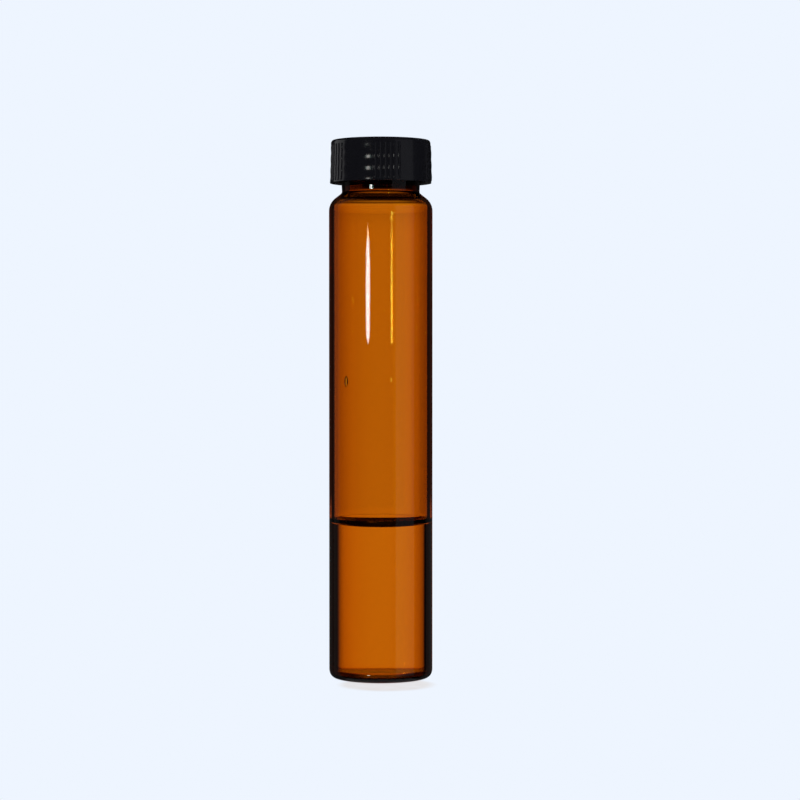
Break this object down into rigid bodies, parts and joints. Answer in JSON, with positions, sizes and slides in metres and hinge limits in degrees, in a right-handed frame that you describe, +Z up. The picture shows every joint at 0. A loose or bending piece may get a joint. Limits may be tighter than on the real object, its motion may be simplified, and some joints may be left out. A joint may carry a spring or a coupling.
{
  "type": "glass sample vial",
  "caption": "Tall amber glass sample vial with a threaded neck, a black ribbed screw cap that unscrews along its real thread, a sealing liner and a clear liquid sample.",
  "frame": {"origin": "centre of the vial's base, on the surface it stands on", "axes": "+Z up along the vial's axis, towards the cap; -Y is the side seen in front; the helix of the thread starts at +X"},
  "size_m": [0.027, 0.027, 0.14],
  "materials": {
    "amber_glass": "clear amber glass, polished, blown from tube",
    "liquid": "clear colourless liquid",
    "liner": "off-white sealing disc with a smooth face",
    "cap": "moulded black plastic, glossy, with slight sink marks over the thread"
  },
  "bodies": {
    "vial": {"glass_vial": "amber_glass", "sample_liquid": "liquid"},
    "liner": {"cap_liner": "liner"},
    "cap": {"screw_cap": "cap"}
  },
  "joints": [
    {"name": "cap_lift", "type": "slide", "parent": "vial", "child": "liner", "axis": [0, 0, 1], "range_m": [0, 0.0136]},
    {"name": "cap_turn", "type": "hinge", "parent": "liner", "child": "cap", "pos_m": [0, 0, 0.134], "axis": [0, 0, 1], "range_deg": [0, 1530]}
  ],
  "couplings": [
    {"joint": "cap_lift", "follows": "cap_turn", "m_per_rad": 0.00050532}
  ]
}
